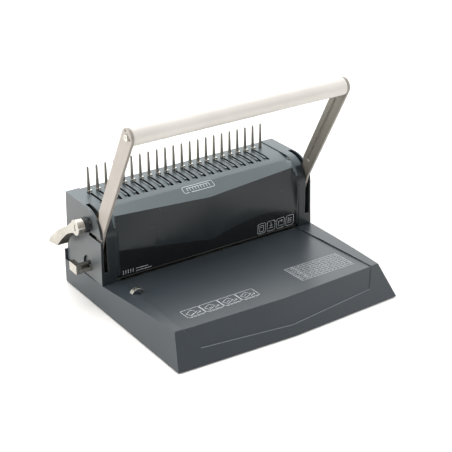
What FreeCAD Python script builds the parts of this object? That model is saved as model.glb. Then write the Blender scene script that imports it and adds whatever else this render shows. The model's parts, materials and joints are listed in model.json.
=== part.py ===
import FreeCAD, Part
import math
import os
import Sketcher

Vector = FreeCAD.Vector
doc = FreeCAD.newDocument("CombBinder")
sheet = doc.addObject("Spreadsheet::Sheet", "Dim")

# Driving dimensions in millimetres and degrees. X runs left to right, Y front to back, Z up,
# with the origin on the table under the middle of the machine.
dimensions = {
    # base shell
    "wall": 2.5,
    "feet_height": 1.5,
    "base_front": -151,
    "base_bow": 8,
    "base_rear": 157.5,
    "base_half_front": 185.7,
    "base_half_rear": 188,
    "lip_front": -122,
    "lip_bow": 7,
    "lip_half": 172.8,
    "lip_top": 46,
    "deck_foot": 38.5,
    "ledge_top": 55,
    "paper_half": 160,
    "paper_sink": 1.2,
    # casing
    "foot_y": 52,
    "foot_half": 184.3,
    "crown_half": 182,
    "band_half": 160,
    "casing_rear": 155,
    "casing_top": 146,
    "panel_top": 144.6,
    "nose_radius": 38,
    "mouth_top": 42.6,
    # handle
    "pivot_y": 79.6,
    "pivot_z": 68.9,
    "arm_lean": 25.2,
    "arm_length": 240.55,
    "arm_inner": 174,
    "arm_thick": 4.5,
    "arm_foot": 10.5,
    "arm_head": 13,
    "bar_radius": 12.7,
    "shaft_radius": 6,
    "gear_inner": 160.5,
    "gear_width": 5,
    "frame_inner": 167,
    "frame_thick": 3,
    # comb and punching
    "pitch": 14.2875,
    "first_tine": -154.9,
    "tine_count": 22,
    "tine_top": 185.5,
    "tine_y": 134.2,
    "tine_thick": 1.8,
    "hook_count": 21,
    "hook_offset": -0.2,
    "slot_offset": 0.9,
    "slot_wide": 4.4,
    "punch_offset": 4.6,
    "punch_y": 62,
    "punch_long": 8,
    "punch_wide": 3,
    "die_play": 0.15,
    "die_bottom": 31,
    "die_top": 37,
    "guide_bottom": 39.6,
    "guide_top": 49,
    "bar_bottom": 64,
    "bar_top": 78,
    # comb opening
    "comb_y": 87,
    "comb_z": 121.5,
    "comb_radius": 5,
    "hub_radius": 11.5,
    "hub_end": 204.5,
    # margin setting
    "knob_y": 91,
    "knob_z": 59.5,
    "knob_end": 209,
    "cam_radius": 6.2,
    "cam_rise": 4,
    # gears
    "tooth_module": 1.5,
    "punch_teeth": 18,
    "comb_teeth": 20,
    "idler_teeth": 18,
    "backlash": 0.3,
    # waste tray
    "tray_front": 53.8,
    "tray_rear": 136,
    "tray_top": 25.5,
}


class Size:
    """A length that keeps its sheet formula beside its value."""

    def __init__(self, text, value):
        self.text = text
        self.value = value

    def join(self, other, sign, value, flipped=False):
        left, right = words(self), words(other)
        if flipped:
            left, right = right, left
        return Size("(%s %s %s)" % (left, sign, right), value)

    def __add__(self, other):
        return self.join(other, "+", self.value + number(other))

    def __radd__(self, other):
        return self.join(other, "+", self.value + number(other), True)

    def __sub__(self, other):
        return self.join(other, "-", self.value - number(other))

    def __rsub__(self, other):
        return self.join(other, "-", number(other) - self.value, True)

    def __mul__(self, other):
        return self.join(other, "*", self.value * number(other))

    def __rmul__(self, other):
        return self.join(other, "*", self.value * number(other), True)

    def __truediv__(self, other):
        return self.join(other, "/", self.value / number(other))

    def __neg__(self):
        return Size("(0 - %s)" % self.text, -self.value)


def number(size):
    return size.value if isinstance(size, Size) else float(size)


def words(size):
    return size.text if isinstance(size, Size) else repr(float(size))


def sine(angle):
    return Size("sin(%s * 1deg)" % words(angle), math.sin(math.radians(number(angle))))


def cosine(angle):
    return Size("cos(%s * 1deg)" % words(angle), math.cos(math.radians(number(angle))))


class Sheet:
    """Every driving dimension as a Size read back from the spreadsheet."""


for row, (alias, value) in enumerate(dimensions.items(), start=1):
    sheet.set("A%d" % row, str(value))
    sheet.setAlias("A%d" % row, alias)
doc.recompute()
d = Sheet()
for alias in dimensions:
    setattr(d, alias, Size("Dim." + alias, float(sheet.get(alias))))

nodes = []


def bind(thing, prop, size):
    """Set a property, and tie it to the sheet where the size comes from there."""
    if isinstance(size, Size):
        thing.setExpression(prop, size.text)
    else:
        setattr(thing, prop, size)


def place(thing, x=0.0, y=0.0, z=0.0, axis=Vector(0, 0, 1), turn=0.0):
    spin = FreeCAD.Rotation(axis, number(turn))
    thing.Placement = FreeCAD.Placement(Vector(number(x), number(y), number(z)), spin)
    for letter, size in (("x", x), ("y", y), ("z", z)):
        if isinstance(size, Size):
            thing.setExpression(".Placement.Base." + letter, size.text)
    if isinstance(turn, Size):
        thing.setExpression(".Placement.Rotation.Angle", turn.text)


def node(thing, name):
    thing.Label = name
    nodes.append(thing)
    return thing


def box(x, y, z):
    """Box between two X, two Y and two Z stations."""
    thing = doc.addObject("Part::Box", "Block")
    for prop, pair in (("Length", x), ("Width", y), ("Height", z)):
        bind(thing, prop, pair[1] - pair[0])
    place(thing, x[0], y[0], z[0])
    return thing


def rod(x, y, z, radius):
    """Cylinder along X between two stations."""
    thing = doc.addObject("Part::Cylinder", "Rod")
    bind(thing, "Radius", radius)
    bind(thing, "Height", x[1] - x[0])
    place(thing, x[0], y, z, Vector(0, 1, 0), 90)
    return thing


def post(x, y, z, radius):
    """Upright cylinder between two heights."""
    thing = doc.addObject("Part::Cylinder", "Post")
    bind(thing, "Radius", radius)
    bind(thing, "Height", z[1] - z[0])
    place(thing, x, y, z[0])
    return thing


def fuse(*parts):
    thing = doc.addObject("Part::MultiFuse", "Join")
    thing.Shapes = list(parts)
    return thing


def cut(base, *tools):
    thing = doc.addObject("Part::Cut", "Trim")
    thing.Base = base
    thing.Tool = tools[0] if len(tools) == 1 else fuse(*tools)
    return thing


def group(*parts):
    thing = doc.addObject("Part::Compound", "Set")
    thing.Links = list(parts)
    return thing


def solid(shape, place_at=Vector(0, 0, 0)):
    """A shape worked out with Part's own functions."""
    thing = doc.addObject("Part::Feature", "Shape")
    thing.Shape = shape
    thing.Placement = FreeCAD.Placement(place_at, FreeCAD.Rotation())
    return thing


def trace(sketch, outline):
    """Draw a closed outline whose corners are tied to the sheet. An entry ("arc", point) between
    two corners bends that side through the point."""
    corners = []
    bends = {}
    for entry in outline:
        if entry[0] == "arc":
            bends[len(corners) - 1] = entry[1]
        else:
            corners.append(entry)
    spots = [Vector(number(u), number(v), 0) for u, v in corners]
    ends = []
    for index, start in enumerate(spots):
        finish = spots[(index + 1) % len(spots)]
        if index in bends:
            middle = Vector(number(bends[index][0]), number(bends[index][1]), 0)
            turned = (middle - start).cross(finish - middle).z < 0
            arc = Part.Arc(finish, middle, start) if turned else Part.Arc(start, middle, finish)
            side = sketch.addGeometry(arc, False)
            ends.append((side, 2, 1) if turned else (side, 1, 2))
        else:
            side = sketch.addGeometry(Part.LineSegment(start, finish), False)
            ends.append((side, 1, 2))
    for index, (side, first, last) in enumerate(ends):
        following = ends[(index + 1) % len(ends)]
        sketch.addConstraint(Sketcher.Constraint("Coincident", side, last, following[0], following[1]))
        for kind, size in zip(("DistanceX", "DistanceY"), corners[index]):
            rule = sketch.addConstraint(
                Sketcher.Constraint(kind, -1, 1, side, first, number(size)))
            if isinstance(size, Size):
                sketch.setExpression("Constraints[%d]" % rule, size.text)


def drill(sketch, u, v, radius):
    """Add a circle to a sketch, tied to the sheet."""
    side = sketch.addGeometry(
        Part.Circle(Vector(number(u), number(v), 0), Vector(0, 0, 1), number(radius)), False)
    rules = [("Radius", (side,), radius)]
    if number(u) == 0 and number(v) == 0:
        sketch.addConstraint(Sketcher.Constraint("Coincident", side, 3, -1, 1))
    else:
        rules += [("DistanceX", (-1, 1, side, 3), u), ("DistanceY", (-1, 1, side, 3), v)]
    for kind, where, size in rules:
        rule = sketch.addConstraint(Sketcher.Constraint(kind, *where, number(size)))
        if isinstance(size, Size):
            sketch.setExpression("Constraints[%d]" % rule, size.text)


def new_sketch(body, plane):
    flat = [item for item in body.Origin.OriginFeatures if item.Role == plane][0]
    sketch = body.newObject("Sketcher::SketchObject", "Outline")
    sketch.AttachmentSupport = [(flat, "")]
    sketch.MapMode = "FlatFace"
    return sketch


def pad(body, plane, outline, length, circles=()):
    sketch = new_sketch(body, plane)
    trace(sketch, outline)
    for circle in circles:
        drill(sketch, *circle)
    feature = body.newObject("PartDesign::Pad", "Pad")
    feature.Profile = sketch
    bind(feature, "Length", length)
    return feature


def side_plate(x, outline, circles=()):
    """Plate cut from a Y-Z outline, between two X stations."""
    body = doc.addObject("PartDesign::Body", "Plate")
    pad(body, "YZ_Plane", outline, x[1] - x[0], circles)
    place(body, x[0])
    return body


def flat_plate(z, outline, circles=()):
    """Plate cut from an X-Y outline, between two heights."""
    body = doc.addObject("PartDesign::Body", "Plate")
    pad(body, "XY_Plane", outline, z[1] - z[0], circles)
    place(body, 0.0, 0.0, z[0])
    return body


def row_of_boxes(count, first, step, x, y, z):
    """Boxes of one size in a row along X; x is measured from each place in the row."""
    return [box((first + step * index + x[0], first + step * index + x[1]), y, z)
            for index in range(count)]


# ---------------------------------------------------------------- base


def ring(front, bow, half_front, half_foot, rear, half_rear, height):
    """Plan outline of the base at one height, its front edge drawn forward to a point in the middle."""
    corners = [(-half_front, front), (0.0, front - bow), (half_front, front), (half_foot, number(d.foot_y)),
               (half_rear, rear), (-half_rear, rear), (-half_foot, number(d.foot_y))]
    points = [Vector(x, y, height) for x, y in corners]
    return Part.makePolygon(points + [points[0]])


def base_block(inset, bottom, top):
    """Flared block of the base between two heights, drawn in by an inset all round."""
    low, lip = number(d.feet_height), number(d.lip_top)
    foot_low = number(d.base_half_rear) - 0.7
    rings = []
    for height in (bottom, top):
        rise = (height - low) / (lip - low)
        front = number(d.base_front) + rise * number(d.lip_front - d.base_front)
        bow = number(d.base_bow) + rise * number(d.lip_bow - d.base_bow)
        half = number(d.base_half_front) + rise * number(d.lip_half - d.base_half_front)
        foot = foot_low + (height - low) / (number(d.deck_foot) - low) * (number(d.foot_half) - foot_low)
        rings.append(ring(front + inset * 1.2, bow, half - inset, foot - inset,
                          number(d.base_rear) - inset, number(d.base_half_rear) - inset, height))
    return Part.makeLoft(rings, True, True)


def slab(outline, half):
    """Y-Z outline pulled out both ways along X."""
    points = [Vector(-half, y, z) for y, z in outline]
    face = Part.Face(Part.makePolygon(points + [points[0]]))
    return face.extrude(Vector(2 * half, 0, 0))


def base_shell():
    wide, high, deep = 200, 60, -10
    foot, foot_z, lip = number(d.foot_y), number(d.deck_foot), number(d.lip_front)
    wall, sink, rear = number(d.wall), number(d.paper_sink), number(d.base_rear)
    outer = base_block(0, number(d.feet_height), high)
    margin = [(lip, number(d.lip_top)), (-78, 44.9), (-13, 42.2), (foot, foot_z)]
    front_end = (-wide, number(d.lip_top) + 1)
    above = slab([front_end] + margin + [(rear - wall, foot_z), (rear - wall, high + 5),
                                         (-wide, high + 5)], wide)
    crest = slab([(rear - 4 * wall, number(d.ledge_top)), (rear + 5, number(d.ledge_top)),
                  (rear + 5, high + 5), (rear - 4 * wall, high + 5)], wide)
    body = outer.cut(above).cut(crest)
    # the paper deck is sunk between the margins, and the hollow goes down over the front lip
    fall = (foot_z - number(d.lip_top)) / (foot - lip)
    deck = [(-wide, number(d.lip_top) - sink + fall * (-wide - lip)),
            (foot + wall, foot_z - sink + fall * wall), (foot + wall, high), (-wide, high)]
    half = number(d.paper_half)
    plan = [(-half + 3, foot + wall), (half - 3, foot + wall), (half, lip), (half, lip - 12),
            (-half, lip - 12), (-half, lip)]
    column = Part.Face(Part.makePolygon([Vector(x, y, 0) for x, y in plan + [plan[0]]]))
    body = body.cut(slab(deck, wide).common(column.extrude(Vector(0, 0, high))))
    skin = outer.cut(outer.translated(Vector(0, 1.3 * sink, 0)))
    low_half, low_z, smile = half - 16.5, 20.7, 6.5
    corners = [(-low_half, low_z), (0, low_z - smile), (low_half, low_z), (half, number(d.lip_top)),
               (half, high), (-half, high), (-half, number(d.lip_top))]
    corners = [Vector(x, -wide, z) for x, z in corners]
    panel = Part.Face(Part.makePolygon(corners + [corners[0]])).extrude(Vector(0, 100, 0))
    body = body.cut(skin.common(panel))
    # hollow from below, and open above behind the paper deck
    room = slab([(-wide, deep), (rear - wall, deep), (rear - wall, high + 5), (foot + wall, high + 5),
                 (foot + wall, foot_z - sink - wall), (lip, number(d.lip_top) - sink - wall),
                 (-wide, number(d.lip_top) - sink - wall + fall * (-wide - lip))], wide)
    body = body.cut(base_block(wall, -1.0, high + 1).common(room))
    gap = 0.3
    door = Part.makeBox(60, number(d.tray_rear - d.tray_front) + 4 + 2 * gap, 27.3 + 5,
                        Vector(150, number(d.tray_front) - 2 - gap, -5))
    return node(solid(body.cut(door).removeSplitter()), "base_shell")


def bottom_parts():
    half, rear = d.base_half_rear - 4, d.base_rear - 3
    outline = [(5.7 - d.base_half_front, d.base_front + 6), (d.base_half_front - 5.7, d.base_front + 6),
               (half, d.foot_y), (half, rear), (-half, rear), (-half, d.foot_y)]
    low = d.feet_height
    node(flat_plate((low, low + 1.5), outline), "bottom_plate")
    spots = [(0.0, 0.0)] + [(x, y) for y in (-115.0, 130.0) for x in (-165.0, 165.0)]
    node(group(*[post(x, y, (0.0, low), 8.0) for x, y in spots]), "rubber_feet")
    stands = [(x, y) for y in (45.5, 144.0) for x in (-160.0, 160.0)]
    node(group(*[post(x, y, (low + 1.5, 29.0), 4.5) for x, y in stands]), "standoffs")


def waste_tray():
    low, wall = d.feet_height + 2, 1.8
    side = d.base_half_rear
    tub = box((-148.0, side - 2), (d.tray_front, d.tray_rear), (low, d.tray_top))
    hollow = box((-148.0 + wall, side - 4), (d.tray_front + wall, d.tray_rear - wall),
                 (low + wall, d.tray_top + 1))
    face = box((side - 2, side + 0.6), (d.tray_front - 2, d.tray_rear + 2), (low - 0.3, 27.0))
    grip = box((side - 1, side + 2), (80.0, 110.0), (12.0, 20.0))
    node(cut(fuse(cut(tub, hollow), face), grip), "waste_tray")


# ---------------------------------------------------------------- casing


def profile(inset, bottom):
    """Side profile of an end cover, square at the back and round at the top front."""
    top, front, rear = d.casing_top - inset, d.foot_y + inset, d.casing_rear - inset
    middle_y = d.foot_y + 1 + d.nose_radius
    middle_z = d.casing_top - d.nose_radius
    slope = (d.nose_radius - inset) * math.sqrt(0.5)
    return [(front, bottom), (front + 1, middle_z), ("arc", (middle_y - slope, middle_z + slope)),
            (middle_y, top), (rear, top), (rear, bottom)]


def end_cover(side):
    """End cover with its arm slot, open towards the middle of the machine."""
    left = side < 0
    skin = (-d.foot_half, -d.band_half) if left else (d.band_half, d.foot_half)
    cavity = (d.wall - d.foot_half, 1 - d.band_half) if left else (d.band_half - 1, d.foot_half - d.wall)
    slot_in, slot_out = d.arm_inner - 1, d.arm_inner + d.arm_thick + 1
    slot = (-slot_out, -slot_in) if left else (slot_in, slot_out)
    slot_outline = [(40.0, 57.0), (66.0, 57.0), (99.5, 118.0), (99.5, 160.0), (40.0, 160.0)]
    wedge_low, wedge_top = d.foot_half, d.crown_half
    sign = -1.0 if left else 1.0
    wedge_points = [(sign * wedge_low, d.deck_foot), (sign * (wedge_low + 5), d.deck_foot),
                    (sign * (wedge_low + 5), d.casing_top + 2), (sign * wedge_top, d.casing_top + 2)]
    wedge = doc.addObject("PartDesign::Body", "Taper")
    pad(wedge, "XZ_Plane", wedge_points, 200.0).Reversed = True
    shell = cut(side_plate(skin, profile(0.0, d.deck_foot)),
                side_plate(cavity, profile(d.wall, d.deck_foot - 1)),
                side_plate(slot, slot_outline), wedge)
    if not left:
        return node(shell, "right_end_cover")
    # cup behind the margin knob, hole for the comb shaft and the slot it is fitted through
    outside = -d.foot_half
    cup = rod((outside + 0.6, outside + 4.6), d.knob_y + 3, d.knob_z - 2, 13.0)
    dish = rod((outside - 1, outside + 3.6), d.knob_y + 3, d.knob_z - 2, 11.5)
    spindle = rod((outside - 1, outside + 8), d.knob_y, d.knob_z, 3.6)
    window = rod((outside - 1, outside + 8), d.comb_y, d.comb_z, 7.5)
    track = box((outside - 1, outside + 4), (40.0, d.comb_y), (104.0, 110.0))
    return node(cut(fuse(shell, cup), dish, spindle, window, track), "left_end_cover")


def cover_section(x):
    """Closed Y-Z section of the centre cover at one X station: flat top, a crease where it turns
    down, a fold part way down the front and the lip over the paper mouth."""
    across = abs(x) / number(d.band_half)
    crease = (55.0 + 9.5 * across, 128.5 + 6.3 * across)
    rise = -0.15 * x if x < 0 else 15.0 * math.sin(math.radians(0.95 * x))
    fold = (50.4 + 2.4 * across ** 2, 62.5 + rise)
    lip = (53.6, number(d.mouth_top))
    top = number(d.panel_top)
    outer = [(152.3, top), (106.0, top), (82.0, top - 3.4), crease, fold, lip]
    wall = number(d.wall)
    inner = [(lip[0] + wall, lip[1]), (fold[0] + wall, fold[1]), (crease[0] + wall, crease[1] - wall * 0.5),
             (82.6, top - 3.4 - wall), (106.3, top - wall), (152.3, top - wall)]
    points = [Vector(x, y, z) for y, z in outer + inner]
    return Part.makePolygon(points + [points[0]])


def centre_cover():
    half = number(d.band_half) - 0.3
    steps = 16
    sections = [cover_section(-half + 2 * half * index / steps) for index in range(steps + 1)]
    shell = Part.makeLoft(sections, True, False)
    tools = []
    for index in range(int(number(d.tine_count))):
        x = number(d.first_tine) + number(d.pitch) * index
        tools.append(Part.makeBox(5.4, 4.2, 12, Vector(x - 2.6, 133.0, 136)))
        if index < int(number(d.hook_count)):
            start = x + number(d.slot_offset) - number(d.slot_wide) / 2
            tools.append(Part.makeBox(number(d.slot_wide), 40.5, 12, Vector(start, 93.5, 136)))
    shell = shell.cut(Part.makeCompound(tools))
    ribs, rib_wide = [], 3.1
    for index in range(int(number(d.hook_count))):
        slot_left = number(d.first_tine + d.slot_offset - d.slot_wide / 2) + number(d.pitch) * index
        start = Vector(slot_left - rib_wide, 97.0, number(d.panel_top) - 0.6)
        ribs.append(Part.makeBox(rib_wide, 33, 1.4, start))
    return node(solid(shell.fuse(ribs)), "centre_cover")


def rear_panel():
    inset = d.band_half - 0.3
    panel = box((-inset, inset), (d.casing_rear - d.wall, d.casing_rear), (40.0, d.panel_top))
    node(panel, "rear_panel")
    spots = [(x, z) for z in (66.0, 132.0) for x in (-140.0, 140.0)]
    screws = []
    for x, z in spots:
        head = doc.addObject("Part::Cylinder", "Head")
        bind(head, "Radius", 3.4)
        bind(head, "Height", 1.4)
        place(head, x, d.casing_rear + 1.4, z, Vector(1, 0, 0), 90)
        slot = box((x - 2.6, x + 2.6), (d.casing_rear + 0.7, d.casing_rear + 2), (z - 0.5, z + 0.5))
        screws.append(cut(head, slot))
    node(group(*screws), "rear_screws")


# ---------------------------------------------------------------- frame


def chassis():
    idler_y = d.comb_y + d.tooth_module * (d.comb_teeth + d.idler_teeth) / 2
    reach = d.frame_inner + d.frame_thick + 1
    plate = box((-reach, reach), (38.0, 150.0), (d.die_bottom - 2, d.die_bottom))
    chips = box((-152.0, 152.0), (d.punch_y - 3, d.punch_y + 3), (d.die_bottom - 3, d.die_bottom + 1))
    node(cut(plate, chips), "chassis_plate")
    outline = [(57.5, d.die_bottom), (150.0, d.die_bottom), (150.0, 138.0), (98.0, 138.0),
               (72.0, 126.0), (57.5, 104.0)]
    holes = [(d.pivot_y, d.pivot_z, 9.0), (d.comb_y, d.comb_z, 8.0), (d.knob_y, d.knob_z, 3.05),
             (idler_y, d.comb_z, 4.0)]
    inner, outer = d.frame_inner, d.frame_inner + d.frame_thick
    node(side_plate((-outer, -inner), outline, holes), "left_frame")
    node(side_plate((inner, outer), outline, holes), "right_frame")
    node(box((-inner, inner), (d.tine_y + d.tine_thick, 148.0), (116.0, 128.0)), "rear_tie_bar")
    pins = [rod(x, idler_y, d.comb_z, 4.0) for x in ((-outer, -159.2), (159.2, outer))]
    node(group(*pins), "idler_pins")
    for name, y, z, radius, shaft in (("main_bushes", d.pivot_y, d.pivot_z, 9.0, d.shaft_radius),
                                      ("comb_bushes", d.comb_y, d.comb_z, 8.0, d.comb_radius)):
        rings = []
        for x in ((-outer - 0.5, -inner), (inner, outer + 0.5)):
            rings.append(cut(rod(x, y, z, radius), rod((x[0] - 1, x[1] + 1), y, z, shaft + 0.05)))
        node(group(*rings), name)


def tine_set():
    """Rake that holds the comb: an upright strip and the row of tapered tines that stand on it, each
    straight on its left side."""
    low, neck = 116.0, 141.0
    last = d.first_tine + d.pitch * (d.tine_count - 1)
    depth = (d.tine_y, d.tine_y + d.tine_thick)
    node(box((d.first_tine - 6, last + 6), depth, (low, neck)), "tine_strip")
    outline = [(0.0, neck), (4.9, neck), (4.8, neck + 10), (3.6, d.tine_top - 2.4), (3.0, d.tine_top - 0.7),
               (2.3, d.tine_top), (1.4, d.tine_top - 0.4), (0.7, d.tine_top - 2.4)]
    tines = []
    for index in range(int(number(d.tine_count))):
        body = doc.addObject("PartDesign::Body", "Tine")
        pad(body, "XZ_Plane", outline, d.tine_thick).Reversed = True
        place(body, d.first_tine - 2.4 + d.pitch * index, d.tine_y)
        tines.append(body)
    node(group(*tines), "tines")


def die_set():
    """Lower die and punch guide, with a row of oblong holes in each, and the blocks between."""
    long, wide, play = d.punch_long / 2, d.punch_wide / 2, d.die_play
    first = d.first_tine + d.pitch / 2 + d.punch_offset
    depth = (d.punch_y - 5.4, d.punch_y + 3.7)
    for name, z in (("lower_die", (d.die_bottom, d.die_top)), ("punch_guide", (d.guide_bottom, d.guide_top))):
        plate = box((-152.0, 152.0), depth, z)
        holes = row_of_boxes(int(number(d.hook_count)), first, d.pitch,
                             (-long - play, long + play),
                             (d.punch_y - wide - play, d.punch_y + wide + play), (z[0] - 1, z[1] + 1))
        node(cut(plate, *holes), name)
    node(group(*[box(x, depth, (d.die_bottom, d.guide_top)) for x in ((-158.0, -152.0), (152.0, 158.0))]),
         "die_blocks")


def gauge_arch():
    """Small strap bent over the left margin, to gauge the comb size."""
    body = doc.addObject("PartDesign::Body", "Arch")
    floor, deck, half = 41.35, 39.55, 9.5
    pad(body, "XZ_Plane", [(-half, floor), ("arc", (0.0, floor + 6.7)), (half, floor), (half, deck),
                           (half - 1.4, deck), (half - 1.4, floor), ("arc", (0.0, floor + 5.3)),
                           (1.4 - half, floor)], 7.5)
    place(body, -154.5, 10.2, 0.0)
    node(body, "gauge_arch")


# ---------------------------------------------------------------- gears and racks


def gear_edges(teeth, module, centres, backlash, hub=None):
    """Outline of the teeth whose centre angles are given, with involute sides drawn as arcs, joined
    by the root circle and, for a sector, closed behind by the hub circle."""
    pressure = math.radians(20)
    pitch_radius = teeth * module / 2
    base = pitch_radius * math.cos(pressure)
    root, tip = pitch_radius - 1.25 * module, pitch_radius + 0.85 * module

    def involute(radius):
        slope = math.acos(min(1.0, base / radius))
        return math.tan(slope) - slope

    def spread(radius):
        half = math.pi / 2 / teeth - backlash / 4 / pitch_radius
        return half + involute(pitch_radius) - involute(max(radius, base))

    def spot(radius, angle):
        return Vector(0, radius * math.cos(angle), radius * math.sin(angle))

    edges = []
    previous = None
    first = None
    for centre in centres:
        start = spot(root, centre - spread(base))
        if previous is not None:
            half_way = (centre + previous) / 2
            edges.append(Part.Arc(edges[-1].Vertexes[-1].Point, spot(root, half_way), start).toShape())
        else:
            first = start
        middle = (max(root, base) + tip) / 2
        flank = max(root, base)
        edges.append(Part.makeLine(start, spot(flank, centre - spread(flank))))
        edges.append(Part.Arc(spot(flank, centre - spread(flank)), spot(middle, centre - spread(middle)),
                              spot(tip, centre - spread(tip))).toShape())
        edges.append(Part.Arc(spot(tip, centre - spread(tip)), spot(tip, centre),
                              spot(tip, centre + spread(tip))).toShape())
        edges.append(Part.Arc(spot(tip, centre + spread(tip)), spot(middle, centre + spread(middle)),
                              spot(flank, centre + spread(flank))).toShape())
        edges.append(Part.makeLine(spot(flank, centre + spread(flank)), spot(root, centre + spread(base))))
        previous = centre
    end = spot(root, centres[-1] + spread(base))
    if hub is None:
        gap = (centres[-1] + centres[0] + 2 * math.pi) / 2
        edges.append(Part.Arc(end, spot(root, gap), first).toShape())
        return edges
    start_angle, end_angle = centres[0] - spread(base), centres[-1] + spread(base)
    back = (start_angle + end_angle) / 2 + math.pi
    edges.append(Part.makeLine(end, spot(hub, end_angle)))
    edges.append(Part.Arc(spot(hub, end_angle), spot(hub, back), spot(hub, start_angle)).toShape())
    edges.append(Part.makeLine(spot(hub, start_angle), first))
    return edges


def gear(x, y, z, teeth, contact, bore, reach=None, hub=None):
    """Spur gear or sector with a tooth pointing at the contact angle; reach counts the teeth each way."""
    step = 2 * math.pi / teeth
    count = reach if reach else (0, teeth - 1)
    centres = [contact + step * index for index in range(-count[0], count[1] + 1)]
    edges = gear_edges(teeth, number(d.tooth_module), centres, number(d.backlash), hub)
    face = Part.Face(Part.Wire(edges))
    width = number(x[1] - x[0])
    shape = face.extrude(Vector(width, 0, 0))
    shape = shape.cut(Part.makeCylinder(bore, width + 2, Vector(-1, 0, 0), Vector(1, 0, 0)))
    return solid(shape, Vector(number(x[0]), number(y), number(z)))


def rack_points(low, high, gap_at, pitch_line, back):
    """Corners of a straight rack: teeth point to larger v, one gap lies at gap_at along u."""
    module = number(d.tooth_module)
    step = math.pi * module
    lean = math.tan(math.radians(20))
    above, below = 0.85 * module, 1.25 * module
    top, bottom = pitch_line + above, pitch_line - below
    half = step / 4 - number(d.backlash) / 4
    points = [(low, back), (low, bottom)]
    index = math.ceil((low - gap_at) / step + 0.05)
    while gap_at + (index + 0.5) * step + step / 2 < high:
        centre = gap_at + (index + 0.5) * step
        points += [(centre - half - below * lean, bottom), (centre - half + above * lean, top),
                   (centre + half - above * lean, top), (centre + half + below * lean, bottom)]
        index += 1
    return points + [(high, bottom), (high, back)]


def slice_along_x(points, x):
    corners = [Vector(number(x[0]), y, z) for y, z in points]
    return Part.Face(Part.makePolygon(corners + [corners[0]])).extrude(Vector(number(x[1] - x[0]), 0, 0))


# ---------------------------------------------------------------- handle


def handle():
    reach = d.arm_inner + d.arm_thick
    node(rod((0.2 - reach, reach - 0.2), d.pivot_y, d.pivot_z, d.shaft_radius), "main_shaft")
    for name, x in (("left_sector_gear", (-d.gear_inner - d.gear_width, -d.gear_inner)),
                    ("right_sector_gear", (d.gear_inner, d.gear_inner + d.gear_width))):
        node(gear(x, d.pivot_y, d.pivot_z, int(number(d.punch_teeth)), math.pi,
                  number(d.shaft_radius) + 0.02, (4, 2), 9.5), name)
    for name, start in (("left_handle_arm", -reach), ("right_handle_arm", d.arm_inner)):
        body = doc.addObject("PartDesign::Body", "Arm")
        foot, head, long = d.arm_foot, d.arm_head, d.arm_length
        # the shank leans back from the bar, then cranks forward to the pivot inside the casing
        pad(body, "YZ_Plane", [(-head, long), ("arc", (0.0, long + head)), (head, long),
                               (19.0, 80.0), (9.5, 52.0),
                               (foot, 0.0), ("arc", (0.0, -foot)), (-foot, 0.0), (-3.8, 57.0)],
            d.arm_thick, [(0.0, 0.0, d.shaft_radius + 0.02), (0.0, long, 2.6)])
        place(body, start, d.pivot_y, d.pivot_z, Vector(1, 0, 0), d.arm_lean)
        groove = doc.addObject("PartDesign::Body", "Groove")
        pad(groove, "YZ_Plane", [(-1.7, long - 27), (4.3, long - 27), (10.6, 82.0), (4.6, 82.0)], 2.4)
        shift = d.arm_inner - 0.4 if name.startswith("right") else -d.arm_inner - 2
        place(groove, shift, d.pivot_y, d.pivot_z, Vector(1, 0, 0), d.arm_lean)
        node(cut(body, groove), name)
    bar_y = d.pivot_y - d.arm_length * sine(d.arm_lean)
    bar_z = d.pivot_z + d.arm_length * cosine(d.arm_lean)
    ends = (-d.arm_inner, d.arm_inner)
    tube = cut(rod(ends, bar_y, bar_z, d.bar_radius),
               rod((ends[0] - 1, ends[1] + 1), bar_y, bar_z, d.bar_radius - 1.5))
    node(tube, "handle_bar")
    plugs, screws = [], []
    for side in (-1.0, 1.0):
        near, far = d.arm_inner - 14, d.arm_inner
        x = (near, far) if side > 0 else (-far, -near)
        bore = rod((x[0] - 1, x[1] + 1), bar_y, bar_z, 2.6)
        plugs.append(cut(rod(x, bar_y, bar_z, d.bar_radius - 1.6), bore))
        shank = (near + 2, reach) if side > 0 else (-reach, -near - 2)
        cap = (reach, reach + 1.6) if side > 0 else (-reach - 1.6, -reach)
        nick = (reach + 0.8, reach + 3) if side > 0 else (-reach - 3, -reach - 0.8)
        screws.append(cut(fuse(rod(shank, bar_y, bar_z, 2.5), rod(cap, bar_y, bar_z, 5.0)),
                          rod(nick, bar_y, bar_z, 2.2)))
    node(group(*plugs), "bar_plugs")
    node(group(*screws), "handle_screws")


def punches():
    end = d.gear_inner - 0.5
    node(box((-end, end), (d.punch_y - 2.7, d.punch_y + 4), (d.bar_bottom, d.bar_top)), "punch_bar")
    line = number(d.pivot_y) - number(d.punch_teeth) * number(d.tooth_module) / 2
    teeth = rack_points(53.0, 88.0, number(d.pivot_z), line, line - 7)
    points = [(y, z) for z, y in teeth]
    for name, x in (("left_punch_rack", (-d.gear_inner - d.gear_width, -end)),
                    ("right_punch_rack", (end, d.gear_inner + d.gear_width))):
        node(solid(slice_along_x(points, x)), name)
    first = d.first_tine + d.pitch / 2 + d.punch_offset
    long, wide = d.punch_long / 2, d.punch_wide / 2
    pins = row_of_boxes(int(number(d.hook_count)), first, d.pitch, (-long, long),
                        (d.punch_y - wide, d.punch_y + wide), (d.guide_bottom + 1, d.bar_bottom))
    node(group(*pins), "punch_pins")


# ---------------------------------------------------------------- comb opening


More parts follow.
